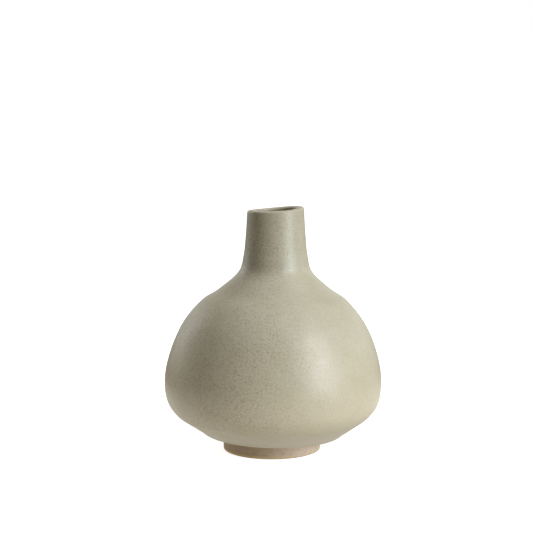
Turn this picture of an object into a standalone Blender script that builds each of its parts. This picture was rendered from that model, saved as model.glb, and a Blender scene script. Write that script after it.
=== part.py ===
"""Stoneware bud vase: four turned clay sections and a foot ring, luted together under two coats of glaze.

Run with: blender --background --python part.py

Lengths are in millimetres until `turned` makes a mesh of them, and in metres, +Z up, from there on. The
origin is on the surface that the vase stands on, below the middle of its belly. A profile is a list of
(radius, height) points, and every section is such a profile turned once round the vase's axis.
"""
import math

import bmesh
import bpy
import numpy as np
from mathutils import Vector
from mathutils.geometry import interpolate_bezier

MM = 0.001
SEGMENTS = 40          # facets once round the vase
CURVE_STEPS = 2        # straight stretches from one station of the outside to the next
LIP_STEPS = 6          # straight stretches in the half circle of the lip
SHARP_ANGLE = math.radians(30)

# The outside, down from the lip to the ledge that the potter's trimming tool leaves low on the belly.
OUTLINE = (
    (16.3, 137.9),
    (17.2, 124.0),
    (18.5, 112.5),
    (21.4, 103.3),     # root of the neck
    (32.2, 93.4),
    (42.2, 86.5),
    (52.1, 74.5),
    (58.9, 59.7),
    (62.6, 44.0),
    (61.8, 30.4),
    (56.9, 21.8),
    (47.8, 15.1),      # upper edge of the trimmed ledge
)
LEDGE_FOOT = (39.9, 9.5)
GLAZE_LINE = (28.8, 7.5)

# Walls and floor, measured through the glaze as well as the clay.
WALL_AT_LIP = 3.9
WALL_AT_BELLY = 5.2
BELLY_HEIGHT = 40.0    # the widest line
FLOOR = ((35.5, 14.8), (25.0, 12.4), (12.0, 12.0), (0.0, 12.0))

GLAZE = 0.45           # thickness of either coat
GAP = 0.3              # left between two pieces that touch
DIP_DEPTH = 11.0       # how far the outer coat comes down inside the lip

# Joints between the clay sections: a level cut with a step halfway through the wall, which centres them.
LEDGE_JOINT = 15.0
BELLY_JOINT = BELLY_HEIGHT
NECK_JOINT = 103.3
STEP = 1.5

# The foot ring, which the underside's boss centres.
FOOT_TOP_RADIUS = 28.3
FOOT_BASE_RADIUS = 28.1
FOOT_BORE_RADIUS = 21.5
FOOT_BORE_FLARE = 0.6
FOOT_EDGE = 0.6        # rounding of both contact edges
EDGE_STEPS = 3
RECESS_HEIGHT = 5.5    # under the floor, inside the ring

# The hand's errors, each a table of (height, amount) that the vase follows smoothly.
# DRIFT shifts a level of the vase along X, TILT raises it by so much per millimetre towards +X, and WAVE
# gives it two waves, with a crest at the angle WAVE_CREST from +X.
DRIFT = ((2.0, -0.6), (LEDGE_FOOT[1], -0.3), (30.0, 0.0), (75.0, 0.4), (112.0, 1.5))
TILT = ((0.0, 0.0), (LEDGE_FOOT[1], -0.024), (22.0, -0.011), (45.0, 0.0), (112.0, 0.0), (137.0, 0.066))
WAVE = ((112.0, 0.0), (137.0, 0.3))
WAVE_CREST = math.radians(20)

# Colour and roughness of each material.
BARE_CLAY = ((0.38, 0.28, 0.19, 1.0), 0.8)
BODY_CLAY = ((0.45, 0.36, 0.27, 1.0), 0.85)
SAGE_GLAZE = ((0.43, 0.40, 0.30, 1.0), 0.5)
LINER_GLAZE = ((0.40, 0.37, 0.28, 1.0), 0.45)


def material(name, colour, roughness):
    """A plain dielectric material."""
    made = bpy.data.materials.new(name)
    made.use_nodes = True
    shader = made.node_tree.nodes["Principled BSDF"]
    shader.inputs["Base Color"].default_value = colour
    shader.inputs["Roughness"].default_value = roughness
    shader.inputs["Metallic"].default_value = 0.0
    made.diffuse_color = colour
    return made


def eased(height, table):
    """A table's value at a height, going smoothly from each entry to the next."""
    heights, values = zip(*table)
    if height <= heights[0]:
        return values[0]
    if height >= heights[-1]:
        return values[-1]
    upper = int(np.searchsorted(heights, height))
    part = (height - heights[upper - 1]) / (heights[upper] - heights[upper - 1])
    return values[upper - 1] + (values[upper] - values[upper - 1]) * part * part * (3 - 2 * part)


def hand_thrown(point):
    """Where a point of the true turned shape ends up on this vase, which leans and waves a little."""
    x, y, z = point
    wave = eased(z, WAVE) * math.cos(2 * (math.atan2(y, x) - WAVE_CREST))
    return Vector((x + eased(z, DRIFT), y, z + x * eased(z, TILT) + wave))


def smooth_curve(stations):
    """Points along a smooth curve that passes through every station."""
    knots = [Vector(station) for station in stations]
    before_first = 2 * knots[0] - knots[1]
    after_last = 2 * knots[-1] - knots[-2]
    padded = [before_first] + knots + [after_last]
    path = []
    for before, start, end, after in zip(padded, padded[1:], padded[2:], padded[3:]):
        leaving = start + (end - before) / 6
        arriving = end - (after - start) / 6
        path += interpolate_bezier(start, leaving, arriving, end, CURVE_STEPS + 1)[:-1]
    return path + [knots[-1]]


def offset(path, distances):
    """A path moved to the left of its direction of travel, with mitred corners."""
    sides = []
    for start, end in zip(path, path[1:]):
        along = (end - start).normalized()
        sides.append(Vector((-along.y, along.x)))
    sides = [sides[0]] + sides + [sides[-1]]
    moved = []
    for point, before, after, distance in zip(path, sides, sides[1:], distances):
        moved.append(point + (before + after) * distance / (1 + before.dot(after)))
    return moved


def stretch(path, low, high):
    """The part of a climbing or falling path between two heights, cut exactly at both."""
    kept = []
    for start, end in zip(path, path[1:]):
        if low <= start.y <= high:
            kept.append(start)
        cuts = [(level - start.y) / (end.y - start.y) for level in (low, high)
                if min(start.y, end.y) < level < max(start.y, end.y)]
        kept += [start.lerp(end, part) for part in sorted(cuts)]
    if low <= path[-1].y <= high:
        kept.append(path[-1])
    return kept


def arc(centre, radius, start_degrees, end_degrees, steps):
    """Points on an arc, both ends included."""
    angles = np.radians(np.linspace(start_degrees, end_degrees, steps + 1))
    return [Vector((centre[0] + radius * math.cos(a), centre[1] + radius * math.sin(a))) for a in angles]


def wall_thickness(height):
    """The wall's thickness, which grows evenly from the lip down to the belly and is even below it."""
    part = (height - BELLY_HEIGHT) / (OUTLINE[0][1] - BELLY_HEIGHT)
    return WALL_AT_BELLY + (WALL_AT_LIP - WALL_AT_BELLY) * max(part, 0.0)


def glaze_surface():
    """The surface of the glaze, from the glaze line up the outside, over the lip and down to the floor."""
    outside = smooth_curve(OUTLINE) + [Vector(LEDGE_FOOT), Vector(GLAZE_LINE)]
    outside.reverse()
    inside = offset([Vector(station) for station in OUTLINE],
                    [-wall_thickness(station[1]) for station in OUTLINE])
    inside += [Vector(station) for station in FLOOR]
    across = outside[-1] - inside[0]
    lean = math.degrees(math.atan2(across.y, across.x))
    lip = arc((outside[-1] + inside[0]) / 2, across.length / 2, lean, lean + 180, LIP_STEPS)
    return outside + lip[1:-1] + inside


def coat(surface):
    """The section of a coat of glaze below a stretch of its surface."""
    return surface + offset(surface, [GLAZE] * len(surface))[::-1]


def step_corners(clay_outside, clay_inside, height, clearance):
    """The two corners of a joint's step, outer one first, for the section below it or above it."""
    outer = stretch(clay_outside, height, math.inf)[0]
    inner = stretch(clay_inside, height, math.inf)[-1]
    middle = (outer.x + inner.x) / 2 + clearance
    return [Vector((middle, height + clearance)), Vector((middle, height + STEP + clearance))]


def clay_wall(clay_outside, clay_inside, low_joint, high_joint=math.inf):
    """The section of the clay wall between two joints, or from the one joint up to the lip."""
    section = stretch(clay_outside, low_joint + GAP, high_joint)
    if high_joint < math.inf:
        section += step_corners(clay_outside, clay_inside, high_joint, 0.0)
    section += stretch(clay_inside, low_joint + STEP + GAP, high_joint + STEP)
    return section + step_corners(clay_outside, clay_inside, low_joint, GAP)[::-1]


def base_dish_section(clay_outside, clay_inside):
    """The floor and the trimmed underside, whose boss reaches down into the foot ring."""
    underside = clay_outside[0].y
    boss = FOOT_BORE_RADIUS - GAP
    section = [Vector((0, RECESS_HEIGHT)), Vector((boss, RECESS_HEIGHT)), Vector((boss, underside))]
    section += stretch(clay_outside, underside, LEDGE_JOINT)
    section += step_corners(clay_outside, clay_inside, LEDGE_JOINT, 0.0)
    return section + stretch(clay_inside, -math.inf, LEDGE_JOINT + STEP)


def foot_ring_section(top):
    """The ring between its top, just under the base dish, and the surface that it stands on."""
    outer = arc((FOOT_BASE_RADIUS - FOOT_EDGE, FOOT_EDGE), FOOT_EDGE, -90, 0, EDGE_STEPS)
    bore_radius = FOOT_BORE_RADIUS + FOOT_BORE_FLARE
    inner = arc((bore_radius + FOOT_EDGE, FOOT_EDGE), FOOT_EDGE, 180, 270, EDGE_STEPS)
    return outer + [Vector((FOOT_TOP_RADIUS, top)), Vector((FOOT_BORE_RADIUS, top))] + inner


def turned(name, section, look):
    """A section turned once round the axis, as a closed body with the hand's errors worked in."""
    mesh = bpy.data.meshes.new(name)
    shape = bmesh.new()
    corners = [shape.verts.new((point.x * MM, 0.0, point.y * MM)) for point in section]
    for start, end in zip(corners, corners[1:] + corners[:1]):
        if start.co.x > 0 or end.co.x > 0:
            shape.edges.new((start, end))
    bmesh.ops.spin(shape, geom=shape.verts[:] + shape.edges[:], cent=(0, 0, 0), axis=(0, 0, 1),
                   angle=math.tau, steps=SEGMENTS, use_merge=True)
    bmesh.ops.remove_doubles(shape, verts=shape.verts, dist=MM * 0.001)
    bmesh.ops.recalc_face_normals(shape, faces=shape.faces)
    for vertex in shape.verts:
        vertex.co = hand_thrown(vertex.co / MM) * MM
    shape.to_mesh(mesh)
    shape.free()
    mesh.shade_smooth()
    mesh.set_sharp_from_angle(angle=SHARP_ANGLE)
    mesh.materials.append(look)
    bpy.context.scene.collection.objects.link(bpy.data.objects.new(name, mesh))


def build_vase():
    """All the vase's pieces, in place."""
    surface = glaze_surface()
    crest = max(range(len(surface)), key=lambda index: surface[index].y)
    outside = surface[:crest]
    inside = surface[crest:]
    dip_end = surface[crest].y - DIP_DEPTH
    clay = offset(surface, [GLAZE + GAP] * len(surface))
    clay_outside = clay[:crest + 1]
    clay_inside = clay[crest:]

    dipped = outside + stretch(inside, dip_end, math.inf)
    poured = stretch(inside, -math.inf, dip_end - GAP)

    pieces = {
        "foot_ring": (foot_ring_section(clay_outside[0].y - GAP), BARE_CLAY),
        "base_dish": (base_dish_section(clay_outside, clay_inside), BODY_CLAY),
        "belly_wall": (clay_wall(clay_outside, clay_inside, LEDGE_JOINT, BELLY_JOINT), BODY_CLAY),
        "shoulder_wall": (clay_wall(clay_outside, clay_inside, BELLY_JOINT, NECK_JOINT), BODY_CLAY),
        "neck_collar": (clay_wall(clay_outside, clay_inside, NECK_JOINT), BODY_CLAY),
        "outer_glaze": (coat(dipped), SAGE_GLAZE),
        "inner_glaze": (coat(poured), LINER_GLAZE),
    }
    for name, (section, look) in pieces.items():
        turned(name, section, material(name, *look))


for old in list(bpy.data.objects):
    bpy.data.objects.remove(old, do_unlink=True)
build_vase()
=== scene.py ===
"""The finished look of a stoneware bud vase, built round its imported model, and a plain studio to see it in.

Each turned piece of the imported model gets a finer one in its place, turned from the same outline and bent by
the same hand. Lengths are in millimetres until `closed_mesh` makes a mesh of them, and in metres from there
on. A path or a section is an array of (radius, height) points.
"""
import math

import bmesh
import bpy
import numpy as np
from mathutils import Euler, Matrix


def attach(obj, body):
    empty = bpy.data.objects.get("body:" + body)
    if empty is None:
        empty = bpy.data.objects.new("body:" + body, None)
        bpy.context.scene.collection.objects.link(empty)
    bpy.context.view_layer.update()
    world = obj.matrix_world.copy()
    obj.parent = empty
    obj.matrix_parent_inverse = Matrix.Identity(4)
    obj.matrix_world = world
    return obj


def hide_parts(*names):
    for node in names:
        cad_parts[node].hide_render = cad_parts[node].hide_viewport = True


MM = 0.001
SEGMENTS = 240         # facets once round the glaze, the foot ring and the base dish
HIDDEN_SEGMENTS = 96   # and round the clay that the glaze hides
CURVE_STEPS = 12       # straight stretches from one station of a curve to the next
GLAZE_STRETCH = 1.4    # the longest straight stretch along the glaze, the recess and the foot ring
RECESS_STRETCH = 0.3
FOOT_STRETCH = 0.25
WELD_DISTANCE = 0.001  # points of a mesh that are closer than this become one
SHARP_ANGLE = math.radians(40)

# The outline: the outside, down from the lip to the trimmed ledge, and the floor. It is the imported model's,
# apart from the wall's top, which is 0.7 mm higher under a lip that is as much lower.
OUTLINE = ((16.3, 138.6), (17.2, 124.0), (18.5, 112.5), (21.4, 103.3), (32.2, 93.4), (42.2, 86.5),
           (52.1, 74.5), (58.9, 59.7), (62.6, 44.0), (61.8, 30.4), (56.9, 21.8), (47.8, 15.1))
LEDGE_FOOT = (39.9, 9.5)
GLAZE_LINE = (28.8, 7.5)
INNER_FLOOR = ((35.5, 14.8), (25.0, 12.4), (12.0, 12.0), (0.0, 12.0))
WALL_AT_LIP = 3.9
WALL_AT_BELLY = 5.2
BELLY_HEIGHT = 40.0
LIP_STEPS = 32
LIP_FULLNESS = 2.3     # 2 makes the lip a half ellipse, and more makes its corners fuller
LIP_HEIGHT = 0.65      # its height as a part of half the wall's thickness

GLAZE = 0.45           # thickness of the glaze
GAP = 0.02             # the fused pieces only just clear one another
DIP_DEPTH = 11.0       # how far down the bore the outer glaze comes
LEDGE_JOINT = 15.0     # heights where the clay sections meet, each with a step of STEP
BELLY_JOINT = BELLY_HEIGHT
NECK_JOINT = 103.3
STEP = 1.5

FOOT_TOP_RADIUS = 28.3
FOOT_BASE_RADIUS = 28.1
FOOT_BORE_RADIUS = 21.5
FOOT_BORE_FLARE = 0.6
FOOT_EDGE = 0.6
EDGE_STEPS = 8
RECESS_HEIGHT = 5.5

# The hand's errors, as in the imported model: shift along X, rise towards +X, and two waves round the lip.
DRIFT = ((2.0, -0.6), (LEDGE_FOOT[1], -0.3), (30.0, 0.0), (75.0, 0.4), (112.0, 1.5))
TILT = ((0.0, 0.0), (LEDGE_FOOT[1], -0.024), (22.0, -0.011), (45.0, 0.0), (112.0, 0.0), (137.0, 0.066))
WAVE = ((112.0, 0.0), (137.0, 0.3))
WAVE_CREST = math.radians(20)

# Marks of the fingers and of the trimming tool, each a spiral with a pitch and a depth.
FINGER_RINGS = (5.5, 0.006)
LINER_RINGS = (6.0, 0.22)
TRIMMING = (1.1, 0.03)
FOOT_TRIMMING = (0.8, 0.03)
UNMARKED = 3           # points at the end of a coat that its rings leave alone
MARK_FADE = 0.3        # how suddenly marks begin and end: the smaller, the more

CORNER_SIZE = 1.6      # how far the rounding of the ledge's corner reaches
CORNER_STEPS = 10
ROLL_HEIGHT = 0.12     # the glaze gathers in a roll round that corner, and is thinner above the roll
ROLL_WIDTH = 2.0
HOLLOW_DEPTH = 0.22
HOLLOW_WIDTH = 1.5
HOLLOW_DISTANCE = 3.7

# The studio, in metres and degrees. Azimuth 0 is the front, and 90 the side that the lip rises to.
CAMERA_PLACE = (-0.0037, -0.8205, 0.2046)
CAMERA_PITCH = 83.18
CAMERA_LENS = 97.0
FLOOR_RADIUS = 6.0
FLOOR_SEGMENTS = 96
FLOOR_COLOUR = (0.6, 0.6, 0.6, 1.0)
SWEEP_GLOW = 0.85      # added to the floor that the camera sees
WALL_LIGHT = 0.95
CEILING_LIGHT = 1.25
BOUNCE_COLOUR = (1.0, 0.97, 0.90, 1.0)
WORLD_COLOUR = (1.03, 1.01, 0.95, 1.0)
WHITE = (1.0, 1.0, 1.0, 1.0)
LAMP_DISTANCE = 1.1
LAMP_AIM = 0.06        # the height that the lamps face, half-way up the belly

# The floor's light on the vase: in full, and in the vase's own shade. The distances from the vase's axis are
# those at which the shade ends, the full light starts, the full light ends, and there is none.
GLOW = 1.15
SHADE_GLOW = 0.68
GLOW_DISTANCES = (0.05, 0.11, 0.18, 0.32)

# The lamps: name, azimuth, elevation, width, height, power and colour.
LAMPS = (
    ("key_light", 54.0, 21.0, 0.38, 0.95, 13.5, (0.93, 0.98, 1.055)),
    ("side_light", 100.0, 28.0, 0.45, 0.6, 0.5, WHITE[:3]),
    ("back_light", -130.0, 20.0, 0.45, 0.6, 1.2, WHITE[:3]),
)

# Colours of the glaze and of the clay.
SAGE = (0.405, 0.377, 0.267, 1.0)
BEIGE = (0.450, 0.397, 0.276, 1.0)
# PALE is the colour of the glaze's lighter clouds, and also the painted bounce light over the ledge.
PALE = (0.500, 0.460, 0.350, 1.0)
THIN = (0.520, 0.420, 0.300, 1.0)
IRON = (0.140, 0.074, 0.041, 1.0)
CLAY = (0.400, 0.305, 0.200, 1.0)
# Painted light: the clay's colour on the side that the key lamp lights, towards +X.
CLAY_PAINTED_LIT = (0.600, 0.490, 0.375, 1.0)
# CLAY_DARK is the clay's darker streaks and grog, and also the painted contact shadow at the foot's bottom.
CLAY_DARK = (0.230, 0.165, 0.105, 1.0)
TOASTED = (0.620, 0.430, 0.190, 1.0)

# Their gloss, and their patterns in millimetres. Specks have a spacing, a share of the places with one, and a
# greatest size.
OUTER_ROUGHNESS = 0.47
LINER_ROUGHNESS = 0.42
CLAY_ROUGHNESS = 0.85
COAT_WEIGHT = 0.26
COAT_ROUGHNESS = 0.4
FINE_SPECKS = (1.1, 0.6, 1.0)
MEDIUM_SPECKS = (2.2, 0.35, 1.1)
LARGE_SPECKS = (13.0, 0.16, 1.3)
GROG_SPECKS = (1.3, 0.3, 0.6)
WANDER = 50.0          # how far the edges of the glaze's colours wander, and over what length
WANDER_SIZE = 30.0
CLOUD_SIZE = 9.0
GRAIN_SIZE = 0.95
SHEEN_SIZE = 5.0       # patches that are duller or glossier by up to SHEEN_RANGE
SHEEN_RANGE = 0.05
RIPPLE_SIZE = 1.6
RIPPLE_DEPTH = 0.03
PIT_DEPTH = 0.02
STREAK_SIZE = 3.5
GRIT_SIZE = 0.5
GRIT_DEPTH = 0.06


def eased(height, table):
    """A table's value at each height, going smoothly from each entry to the next."""
    heights, values = np.transpose(table)
    upper = np.clip(np.searchsorted(heights, height), 1, len(heights) - 1)
    part = np.clip((height - heights[upper - 1]) / (heights[upper] - heights[upper - 1]), 0, 1)
    return values[upper - 1] + (values[upper] - values[upper - 1]) * part * part * (3 - 2 * part)


def hand_thrown(points):
    """Where points of the true turned shape end up on this vase, which leans and waves a little."""
    x, y, z = np.moveaxis(points, -1, 0)
    wave = eased(z, WAVE) * np.cos(2 * (np.arctan2(y, x) - WAVE_CREST))
    return np.stack((x + eased(z, DRIFT), y, z + x * eased(z, TILT) + wave), axis=-1)


def smooth_curve(stations):
    """Points along a smooth curve that passes through every station."""
    knots = np.array(stations, dtype=float)
    padded = np.vstack((2 * knots[0] - knots[1], knots, 2 * knots[-1] - knots[-2]))
    part = np.linspace(0, 1, CURVE_STEPS, endpoint=False)[:, None]
    path = []
    for before, start, end, after in zip(padded, padded[1:], padded[2:], padded[3:]):
        leaving = (end - before) / 2
        arriving = (after - start) / 2
        bend = 3 * (end - start) - 2 * leaving - arriving
        twist = 2 * (start - end) + leaving + arriving
        path.append(start + leaving * part + bend * part ** 2 + twist * part ** 3)
    return np.vstack(path + [knots[-1:]])


def sides(path):
    """For each point of a path, the step that moves the path 1 mm to the left of its direction of travel."""
    along = np.diff(path, axis=0)
    along /= np.linalg.norm(along, axis=1)[:, None]
    left = np.stack((-along[:, 1], along[:, 0]), axis=1)
    before = np.vstack((left[:1], left))
    after = np.vstack((left, left[-1:]))
    return (before + after) / (1 + (before * after).sum(axis=1))[:, None]


def offset(path, distance):
    """A path moved to the left of its direction of travel, with mitred corners."""
    return path + sides(path) * np.reshape(distance, (-1, 1))


def between(path, low, high):
    """The part of a climbing or falling path between two heights, cut exactly at both."""
    kept = []
    for start, end in zip(path, path[1:]):
        if low <= start[1] <= high:
            kept.append(start)
        cuts = [(level - start[1]) / (end[1] - start[1]) for level in (low, high)
                if min(start[1], end[1]) < level < max(start[1], end[1])]
        kept += [start + (end - start) * part for part in sorted(cuts)]
    if low <= path[-1][1] <= high:
        kept.append(path[-1])
    return np.array(kept)


def arc(centre, radius, start_degrees, end_degrees, steps):
    """Points on an arc, both ends included."""
    angles = np.radians(np.linspace(start_degrees, end_degrees, steps + 1))
    return np.array(centre) + radius * np.stack((np.cos(angles), np.sin(angles)), axis=1)


def rounded_corner(before, corner, after, size):
    """A short curve in place of a corner, from `size` before it to `size` after it."""
    before, corner, after = (np.array(point, dtype=float) for point in (before, corner, after))
    start = corner + (before - corner) * size / np.linalg.norm(before - corner)
    end = corner + (after - corner) * size / np.linalg.norm(after - corner)
    part = np.linspace(0, 1, CORNER_STEPS + 1)[:, None]
    return start * (1 - part) ** 2 + corner * 2 * part * (1 - part) + end * part ** 2


def lip_curve(start, end):
    """The lip, from the outside over to the inside: a low half ellipse with fuller corners."""
    centre = (start + end) / 2
    across = start - centre
    up = np.array((-across[1], across[0])) * LIP_HEIGHT
    turn = np.linspace(0, math.pi, LIP_STEPS + 1)[:, None]
    sideways = np.sign(np.cos(turn)) * np.abs(np.cos(turn)) ** (2 / LIP_FULLNESS)
    return centre + across * sideways + up * np.sin(turn) ** (2 / LIP_FULLNESS)


def wall_thickness(height):
    """The wall's thickness, which grows evenly from the lip down to the belly and is even below it."""
    part = (np.array(height) - BELLY_HEIGHT) / (OUTLINE[0][1] - BELLY_HEIGHT)
    return WALL_AT_BELLY + (WALL_AT_LIP - WALL_AT_BELLY) * np.maximum(part, 0.0)


def spaced(path, longest):
    """A path with points added so that none of its stretches is longer than `longest`."""
    points = [path[:1]]
    for start, end in zip(path, path[1:]):
        count = max(math.ceil(np.linalg.norm(end - start) / longest), 1)
        points.append(start + (end - start) * np.linspace(0, 1, count + 1)[1:, None])
    return np.vstack(points)


def rolled_edge(path):
    """A path with the roll of glaze at the ledge's corner and the shallow hollow beside it."""
    away = np.linalg.norm(path - np.array(LEDGE_FOOT), axis=1)
    roll = ROLL_HEIGHT * np.exp(-(away / ROLL_WIDTH) ** 2)
    hollow = HOLLOW_DEPTH * np.exp(-((away - HOLLOW_DISTANCE) / HOLLOW_WIDTH) ** 2)
    return offset(path, hollow - roll)


def glaze_surface():
    """The surface of the glaze, from the glaze line up the outside, over the lip and down to the floor."""
    outside = np.vstack((
        smooth_curve(OUTLINE),
        rounded_corner(OUTLINE[-1], LEDGE_FOOT, GLAZE_LINE, CORNER_SIZE),
        [GLAZE_LINE],
    ))[::-1]
    stations = np.array(OUTLINE)
    inner_stations = offset(stations, -wall_thickness(stations[:, 1]))
    inside = smooth_curve(np.vstack((inner_stations, INNER_FLOOR)))
    lip = lip_curve(outside[-1], inside[0])[1:-1]
    return rolled_edge(spaced(np.vstack((outside, lip, inside)), GLAZE_STRETCH))


def coat(surface):
    """The section of a coat of glaze below a stretch of its surface."""
    return np.vstack((surface, offset(surface, GLAZE)[::-1]))


def step_corners(clay_outside, clay_inside, height, clearance):
    """The two corners of a joint's step, outer one first, for the section below it or above it."""
    outer = between(clay_outside, height, math.inf)[0]
    inner = between(clay_inside, height, math.inf)[-1]
    middle = (outer[0] + inner[0]) / 2 + clearance
    return np.array(((middle, height + clearance), (middle, height + STEP + clearance)))


def clay_wall(clay_outside, clay_inside, low_joint, high_joint):
    """The section of the clay wall between two joints. It ends in the lip where the upper one is infinite."""
    section = [between(clay_outside, low_joint + GAP, high_joint)]
    if high_joint < math.inf:
        section.append(step_corners(clay_outside, clay_inside, high_joint, 0.0))
    section.append(between(clay_inside, low_joint + STEP + GAP, high_joint + STEP))
    section.append(step_corners(clay_outside, clay_inside, low_joint, GAP)[::-1])
    return np.vstack(section)


def base_dish_section(clay_outside, clay_inside):
    """The floor and the trimmed underside, whose boss reaches down into the foot ring."""
    underside = clay_outside[0][1]
    boss = FOOT_BORE_RADIUS - GAP
    recess = np.array(((0, RECESS_HEIGHT), (boss, RECESS_HEIGHT), (boss, underside)))
    return np.vstack((
        spaced(recess, RECESS_STRETCH),
        between(clay_outside, underside, LEDGE_JOINT),
        step_corners(clay_outside, clay_inside, LEDGE_JOINT, 0.0),
        between(clay_inside, -math.inf, LEDGE_JOINT + STEP),
    ))


def foot_ring_section(top):
    """The ring between its top, just under the base dish, and the surface that it stands on."""
    outer = arc((FOOT_BASE_RADIUS - FOOT_EDGE, FOOT_EDGE), FOOT_EDGE, -90, 0, EDGE_STEPS)
    bore_radius = FOOT_BORE_RADIUS + FOOT_BORE_FLARE
    inner = arc((bore_radius + FOOT_EDGE, FOOT_EDGE), FOOT_EDGE, 180, 270, EDGE_STEPS)
    ring = np.vstack((outer, [(FOOT_TOP_RADIUS, top), (FOOT_BORE_RADIUS, top)], inner, outer[:1]))
    return spaced(ring, FOOT_STRETCH)[:-1]


def spiral(section, first, last, pitch, depth):
    """A spiral tool mark from one point of a section to another: each point's turn and depth."""
    length = np.linalg.norm(np.diff(section, axis=0, prepend=section[:1]), axis=1).cumsum()
    fade = np.zeros(len(section))
    fade[first:last] = np.sin(np.linspace(0, math.pi, last - first)) ** MARK_FADE
    return length / pitch, depth * fade


def closed_mesh(name, points):
    """A smooth mesh in metres through a grid of points, which closes on itself both ways."""
    segments, count, _ = points.shape
    index = np.arange(segments * count).reshape(segments, count)
    here = index.ravel()
    next_turn = np.roll(index, -1, axis=0).ravel()
    along = np.roll(index, -1, axis=1).ravel()
    both = np.roll(index, (-1, -1), axis=(0, 1)).ravel()
    faces = np.stack((here, next_turn, both, along), axis=1)

    mesh = bpy.data.meshes.new(name)
    mesh.from_pydata((points.reshape(-1, 3) * MM).tolist(), [], faces.tolist())
    shape = bmesh.new()
    shape.from_mesh(mesh)
    bmesh.ops.remove_doubles(shape, verts=shape.verts, dist=WELD_DISTANCE * MM)
    bmesh.ops.recalc_face_normals(shape, faces=shape.faces)
    shape.to_mesh(mesh)
    shape.free()
    mesh.shade_smooth()
    mesh.set_sharp_from_angle(angle=SHARP_ANGLE)
    return mesh


def turned(name, section, look, segments=SEGMENTS, marks=None):
    """A section turned once round the axis, as a closed body with tool marks and the hand's errors."""
    turns = np.arange(segments) / segments
    grid = np.broadcast_to(section, (segments,) + section.shape)
    if marks:
        phase, depth = marks
        shift = depth * np.cos(math.tau * (phase[None, :] - turns[:, None]))
        grid = grid - sides(section) * shift[..., None]
    radius, height = np.moveaxis(grid, -1, 0)
    angle = math.tau * turns[:, None]
    points = hand_thrown(np.stack((radius * np.cos(angle), radius * np.sin(angle), height), axis=-1))
    mesh = closed_mesh(name, points)
    mesh.materials.append(look)
    made = bpy.data.objects.new(name, mesh)
    bpy.context.scene.collection.objects.link(made)
    return made


def new_material(name):
    """A material, its node tree, its shader and the object's coordinates in metres."""
    made = bpy.data.materials.new(name)
    made.use_nodes = True
    tree = made.node_tree
    where = tree.nodes.new("ShaderNodeTexCoord").outputs["Object"]
    return made, tree, tree.nodes["Principled BSDF"], where


def add(tree, kind, inputs, **settings):
    """A new node. Each input is a value or another node's output."""
    node = tree.nodes.new(kind)
    for key, value in settings.items():
        setattr(node, key, value)
    for key, value in inputs.items():
        if isinstance(value, bpy.types.NodeSocket):
            tree.links.new(value, node.inputs[key])
        else:
            node.inputs[key].default_value = value
    return node


def noise(tree, where, size, detail=2.0, roughness=0.5):
    """Smooth noise about 0.5, whose features are about `size` millimetres across."""
    made = add(tree, "ShaderNodeTexNoise",
               {"Vector": where, "Scale": 1 / (size * MM), "Detail": detail, "Roughness": roughness})
    return made.outputs["Fac"]


def remap(tree, value, low, high, to_low, to_high, smooth=False):
    """A value's range moved to another, and held within it."""
    made = add(tree, "ShaderNodeMapRange",
               {"Value": value, "From Min": low, "From Max": high, "To Min": to_low, "To Max": to_high},
               interpolation_type="SMOOTHSTEP" if smooth else "LINEAR")
    return made.outputs["Result"]


def combined(tree, operation, first, second):
    """Two values put together by a Math node."""
    return add(tree, "ShaderNodeMath", {0: first, 1: second}, operation=operation).outputs["Value"]


def blended(tree, part, first, second):
    """Two colours mixed: the first where part is 0 and the second where it is 1."""
    return add(tree, "ShaderNodeMix", {0: part, 6: first, 7: second}, data_type="RGBA").outputs[2]


def stretched(tree, where, factors):
    """Coordinates multiplied along each axis, which makes a pattern shorter along it."""
    return add(tree, "ShaderNodeVectorMath", {0: where, 1: factors}, operation="MULTIPLY").outputs["Vector"]


def axis_of(tree, where, axis):
    """One of the coordinates, in metres: X towards the side that the lip rises to, or Z for the height."""
    return add(tree, "ShaderNodeSeparateXYZ", {"Vector": where}).outputs[axis]


def specks(tree, where, spacing, share, size):
    """1 inside round specks up to `size` across, one in `share` of cells `spacing` wide, and 0 elsewhere."""
    cells = add(tree, "ShaderNodeTexVoronoi", {"Vector": where, "Scale": 1 / (spacing * MM)})
    chance = add(tree, "ShaderNodeSeparateColor", {"Color": cells.outputs["Color"]})
    radius = remap(tree, chance.outputs["Green"], 0.0, 1.0, size * 0.2 / spacing, size * 0.5 / spacing)
    inside = combined(tree, "DIVIDE", cells.outputs["Distance"], radius)
    round_spot = remap(tree, inside, 0.5, 1.0, 1.0, 0.0, smooth=True)
    present = combined(tree, "LESS_THAN", chance.outputs["Red"], share)
    return combined(tree, "MULTIPLY", round_spot, present)


def clouded_sage(tree, where, wander):
    """The glaze's own colour: sage above and warmer below, with lighter clouds in it."""
    level = combined(tree, "ADD", axis_of(tree, where, "Z"), wander)
    low_part = remap(tree, level, 35.0 * MM, 125.0 * MM, 1.0, 0.0, smooth=True)
    colour = blended(tree, low_part, SAGE, BEIGE)
    clouds = remap(tree, noise(tree, where, CLOUD_SIZE, detail=3.0), 0.35, 0.7, 0.0, 0.3)
    return blended(tree, clouds, colour, PALE)


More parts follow.
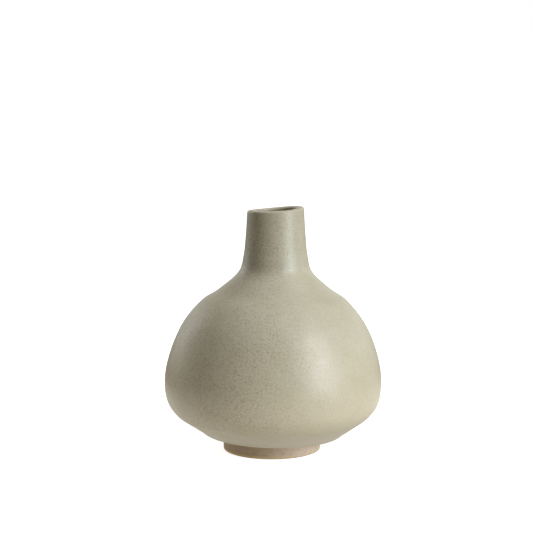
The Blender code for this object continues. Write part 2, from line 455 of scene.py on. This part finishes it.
def with_iron(tree, where, colour, wander, medium):
    """A colour with iron in it: grain and small specks that fade towards +X, partly painted light on the
    key-lit side, and a few large specks.
    """
    sideways = combined(tree, "ADD", axis_of(tree, where, "X"), wander)
    # Partly painted light: the specks thin out towards +X, where the key lamp lights the vase, which lightens
    # that side and leaves the shaded side darker.
    fade = remap(tree, sideways, 5.0 * MM, 55.0 * MM, 1.0, 0.4, smooth=True)
    grain = remap(tree, noise(tree, where, GRAIN_SIZE, roughness=0.6), 0.42, 0.72, 0.0, 0.38)
    fine = specks(tree, where, *FINE_SPECKS)
    for spots, strength in ((grain, 1.0), (fine, 0.48), (medium, 0.45)):
        amount = combined(tree, "MULTIPLY", combined(tree, "MULTIPLY", spots, strength), fade)
        colour = blended(tree, amount, colour, IRON)
    large = specks(tree, where, *LARGE_SPECKS)
    return blended(tree, combined(tree, "MULTIPLY", large, 0.6), colour, IRON)


def thin_glaze_and_painted_light_below(tree, where, colour):
    """A colour painted lighter over the ledge, as painted bounce light from the floor, and lighter and pinker
    where the glaze is thin at its foot.
    """
    height = axis_of(tree, where, "Z")
    # Painted light: the ledge is painted lighter, in place of the floor's bounce light on it.
    ledge = remap(tree, height, 12.0 * MM, 19.0 * MM, 0.5, 0.0, smooth=True)
    colour = blended(tree, ledge, colour, PALE)
    edge = remap(tree, height, 9.5 * MM, 11.0 * MM, 0.6, 0.0, smooth=True)
    return blended(tree, edge, colour, THIN)


def glaze_relief(tree, where, pitted):
    """The glaze's normal: a slight ripple, with shallow pits where it is pitted."""
    ripple = add(tree, "ShaderNodeBump", {
        "Height": noise(tree, where, RIPPLE_SIZE, detail=1.0),
        "Distance": RIPPLE_DEPTH * MM,
        "Strength": 1.0,
    })
    pits = add(tree, "ShaderNodeBump", {
        "Height": pitted,
        "Distance": -PIT_DEPTH * MM,
        "Strength": 1.0,
        "Normal": ripple.outputs["Normal"],
    })
    return pits.outputs["Normal"]


def glaze_material(name, roughness):
    """Satin glaze: sage above, warmer below, clouded, specked with iron that thins on the key-lit side as
    painted light, painted lighter over the ledge, thin over its lowest edge.
    """
    made, tree, shader, where = new_material(name)
    wander = combined(tree, "MULTIPLY", noise(tree, where, WANDER_SIZE), WANDER * MM)
    medium = specks(tree, where, *MEDIUM_SPECKS)
    colour = clouded_sage(tree, where, wander)
    colour = with_iron(tree, where, colour, wander, medium)
    colour = thin_glaze_and_painted_light_below(tree, where, colour)
    glossiest = roughness - SHEEN_RANGE
    dullest = roughness + SHEEN_RANGE
    gloss = remap(tree, noise(tree, where, SHEEN_SIZE), 0.3, 0.7, glossiest, dullest)
    tree.links.new(colour, shader.inputs["Base Color"])
    tree.links.new(gloss, shader.inputs["Roughness"])
    tree.links.new(glaze_relief(tree, where, medium), shader.inputs["Normal"])
    shader.inputs["Coat Weight"].default_value = COAT_WEIGHT
    shader.inputs["Coat Roughness"].default_value = COAT_ROUGHNESS
    return made


def toasted_below(tree, where, colour, painted_lit_side):
    """A colour toasted along the edge that the foot stood on in the kiln, less so where it is painted lit,
    over a painted contact shadow.
    """
    height = axis_of(tree, where, "Z")
    toasted = remap(tree, height, 0.9 * MM, 1.9 * MM, 0.75, 0.0, smooth=True)
    # The toasted band is painted weaker on the key-lit side, following the painted light.
    fade = remap(tree, painted_lit_side, 0.5, 1.0, 1.0, 0.3)
    colour = blended(tree, combined(tree, "MULTIPLY", toasted, fade), colour, TOASTED)
    # Painted contact shadow: the clay darkens over its lowest 0.8 mm, where the foot meets the floor.
    painted_contact_shadow = remap(tree, height, 0.3 * MM, 0.8 * MM, 0.6, 0.0, smooth=True)
    return blended(tree, painted_contact_shadow, colour, CLAY_DARK)


def clay_material(name):
    """Bare fired stoneware: pinkish, painted lighter on the key-lit +X side, with grog, toasted where it stood
    in the kiln.
    """
    made, tree, shader, where = new_material(name)
    # Painted light and shade: the clay goes lighter towards +X, where the key lamp lights the foot, and darker
    # on the shaded side.
    painted_lit_side = remap(tree, axis_of(tree, where, "X"), -12.0 * MM, 20.0 * MM, 0.0, 1.0, smooth=True)
    colour = blended(tree, painted_lit_side, CLAY, CLAY_PAINTED_LIT)
    streaks = noise(tree, stretched(tree, where, (1.0, 1.0, 2.5)), STREAK_SIZE, detail=4.0)
    colour = blended(tree, remap(tree, streaks, 0.45, 0.7, 0.0, 0.35), colour, CLAY_DARK)
    grog = specks(tree, where, *GROG_SPECKS)
    colour = blended(tree, combined(tree, "MULTIPLY", grog, 0.5), colour, CLAY_DARK)
    colour = toasted_below(tree, where, colour, painted_lit_side)
    grit = add(tree, "ShaderNodeBump", {
        "Height": noise(tree, where, GRIT_SIZE, detail=3.0),
        "Distance": GRIT_DEPTH * MM,
        "Strength": 1.0,
    })
    tree.links.new(colour, shader.inputs["Base Color"])
    tree.links.new(grit.outputs["Normal"], shader.inputs["Normal"])
    shader.inputs["Roughness"].default_value = CLAY_ROUGHNESS
    return made


def put_in_place(piece, node):
    """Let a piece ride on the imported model's body in place of its node."""
    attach(piece, "root")
    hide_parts(node)


def build_glaze(outside, inside):
    """The dipped coat over the outside and the lip, and the poured one below it in the bore."""
    dip_end = inside[0][1] - DIP_DEPTH
    dipped = coat(np.vstack((outside, between(inside, dip_end, math.inf))))
    poured = coat(between(inside, -math.inf, dip_end - GAP))
    dip_marks = spiral(dipped, UNMARKED, len(outside), *FINGER_RINGS)
    pour_marks = spiral(poured, UNMARKED, len(poured) // 2 - UNMARKED, *LINER_RINGS)
    outer = glaze_material("outer_glaze", OUTER_ROUGHNESS)
    inner = glaze_material("inner_glaze", LINER_ROUGHNESS)
    put_in_place(turned("outer_glaze_coat", dipped, outer, marks=dip_marks), "outer_glaze")
    put_in_place(turned("liner_glaze_coat", poured, inner, marks=pour_marks), "inner_glaze")


def build_clay(outside, inside):
    """The foot ring, the base dish and the three walls, all between the surfaces under the glaze."""
    foot = foot_ring_section(outside[0][1] - GAP)
    base = base_dish_section(outside, inside)
    outer_side = len(foot) // 3
    foot_marks = spiral(foot, EDGE_STEPS, outer_side, *FOOT_TRIMMING)
    base_marks = spiral(base, 1, round(FOOT_BORE_RADIUS / RECESS_STRETCH), *TRIMMING)
    bare = clay_material("bare_clay")
    body = clay_material("body_clay")
    put_in_place(turned("turned_foot_ring", foot, bare, marks=foot_marks), "foot_ring")
    put_in_place(turned("trimmed_base", base, body, marks=base_marks), "base_dish")
    walls = (
        ("belly_clay", "belly_wall", LEDGE_JOINT, BELLY_JOINT),
        ("shoulder_clay", "shoulder_wall", BELLY_JOINT, NECK_JOINT),
        ("neck_clay", "neck_collar", NECK_JOINT, math.inf),
    )
    for name, node, low_joint, high_joint in walls:
        section = clay_wall(outside, inside, low_joint, high_joint)
        put_in_place(turned(name, section, body, HIDDEN_SEGMENTS), node)


def build_vase():
    """The vase's pieces, from the surface of its glaze inwards."""
    surface = glaze_surface()
    crest = int(surface[:, 1].argmax())
    build_glaze(surface[:crest], surface[crest:])
    clay = offset(surface, GLAZE + GAP)
    build_clay(clay[:crest + 1], clay[crest:])


def softbox(name, azimuth, elevation, width, height, power, colour):
    """A soft rectangular light that faces the belly of the vase."""
    lamp = bpy.data.lights.new(name, "AREA")
    lamp.shape = "RECTANGLE"
    lamp.size = width
    lamp.size_y = height
    lamp.energy = power
    lamp.color = colour
    box = bpy.data.objects.new(name, lamp)
    around = math.radians(azimuth)
    above = math.radians(elevation)
    level = LAMP_DISTANCE * math.cos(above)
    rise = LAMP_DISTANCE * math.sin(above)
    box.location = (level * math.sin(around), -level * math.cos(around), LAMP_AIM + rise)
    box.rotation_euler = Euler((math.pi / 2 - above, 0.0, around))
    bpy.context.scene.collection.objects.link(box)


def floor_material():
    """White. The camera sees it overlit all over, and the vase gets its light from near by only."""
    made, tree, shader, where = new_material("floor_white")
    shader.inputs["Base Color"].default_value = FLOOR_COLOUR
    shader.inputs["Roughness"].default_value = 0.9
    shader.inputs["Specular IOR Level"].default_value = 0.1
    shader.inputs["Emission Color"].default_value = WHITE
    shader.inputs["Emission Strength"].default_value = SWEEP_GLOW
    away = add(tree, "ShaderNodeVectorMath", {0: where}, operation="LENGTH").outputs["Value"]
    shaded, clear, full, gone = GLOW_DISTANCES
    rising = remap(tree, away, shaded, clear, SHADE_GLOW, GLOW, smooth=True)
    fading = remap(tree, away, full, gone, 1.0, 0.0, smooth=True)
    glow = combined(tree, "MULTIPLY", rising, fading)
    bounce = add(tree, "ShaderNodeEmission", {"Color": BOUNCE_COLOUR, "Strength": glow})
    seen = add(tree, "ShaderNodeLightPath", {}).outputs["Is Camera Ray"]
    either = add(tree, "ShaderNodeMixShader", {0: seen, 1: bounce.outputs[0], 2: shader.outputs[0]})
    tree.links.new(either.outputs[0], tree.nodes["Material Output"].inputs["Surface"])
    return made


def build_floor():
    """A wide floor, whose far edge can't be told from the white surroundings."""
    mesh = bpy.data.meshes.new("floor")
    shape = bmesh.new()
    bmesh.ops.create_circle(shape, cap_ends=True, segments=FLOOR_SEGMENTS, radius=FLOOR_RADIUS)
    shape.to_mesh(mesh)
    shape.free()
    mesh.materials.append(floor_material())
    floor = bpy.data.objects.new("floor", mesh)
    bpy.context.scene.collection.objects.link(floor)


def build_world():
    """White surroundings: a bright wall behind and a bright ceiling light the vase, and the rest is dark."""
    world = bpy.data.worlds.new("studio")
    world.use_nodes = True
    tree = world.node_tree
    backdrop = tree.nodes["Background"]
    direction = tree.nodes.new("ShaderNodeTexCoord").outputs["Generated"]
    facing = add(tree, "ShaderNodeSeparateXYZ", {"Vector": direction})
    behind = remap(tree, facing.outputs["Y"], 0.0, 0.5, 0.0, WALL_LIGHT, smooth=True)
    low = remap(tree, facing.outputs["Z"], 0.3, 0.6, 1.0, 0.1, smooth=True)
    ceiling = remap(tree, facing.outputs["Z"], 0.6, 0.9, 0.0, CEILING_LIGHT, smooth=True)
    lit = combined(tree, "MAXIMUM", combined(tree, "MULTIPLY", behind, low), ceiling)
    seen = add(tree, "ShaderNodeLightPath", {}).outputs["Is Camera Ray"]
    tree.links.new(combined(tree, "MAXIMUM", lit, seen), backdrop.inputs["Strength"])
    tree.links.new(blended(tree, seen, WORLD_COLOUR, WHITE), backdrop.inputs["Color"])
    bpy.context.scene.world = world


def build_camera():
    """The camera, a little higher than the vase and looking slightly down on it."""
    scene = bpy.context.scene
    lens = bpy.data.cameras.new("camera")
    lens.lens = CAMERA_LENS
    camera = bpy.data.objects.new("camera", lens)
    camera.location = CAMERA_PLACE
    camera.rotation_euler = (math.radians(CAMERA_PITCH), 0.0, 0.0)
    scene.collection.objects.link(camera)
    scene.camera = camera
    scene.view_settings.view_transform = "Standard"


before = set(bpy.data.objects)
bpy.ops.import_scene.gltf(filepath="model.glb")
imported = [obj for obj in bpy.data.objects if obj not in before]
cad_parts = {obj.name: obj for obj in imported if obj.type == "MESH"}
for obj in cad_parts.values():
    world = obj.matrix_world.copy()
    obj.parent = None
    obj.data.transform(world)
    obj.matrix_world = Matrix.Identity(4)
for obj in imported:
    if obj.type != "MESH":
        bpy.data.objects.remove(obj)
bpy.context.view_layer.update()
build_vase()
build_floor()
build_world()
for lamp in LAMPS:
    softbox(*lamp)
build_camera()
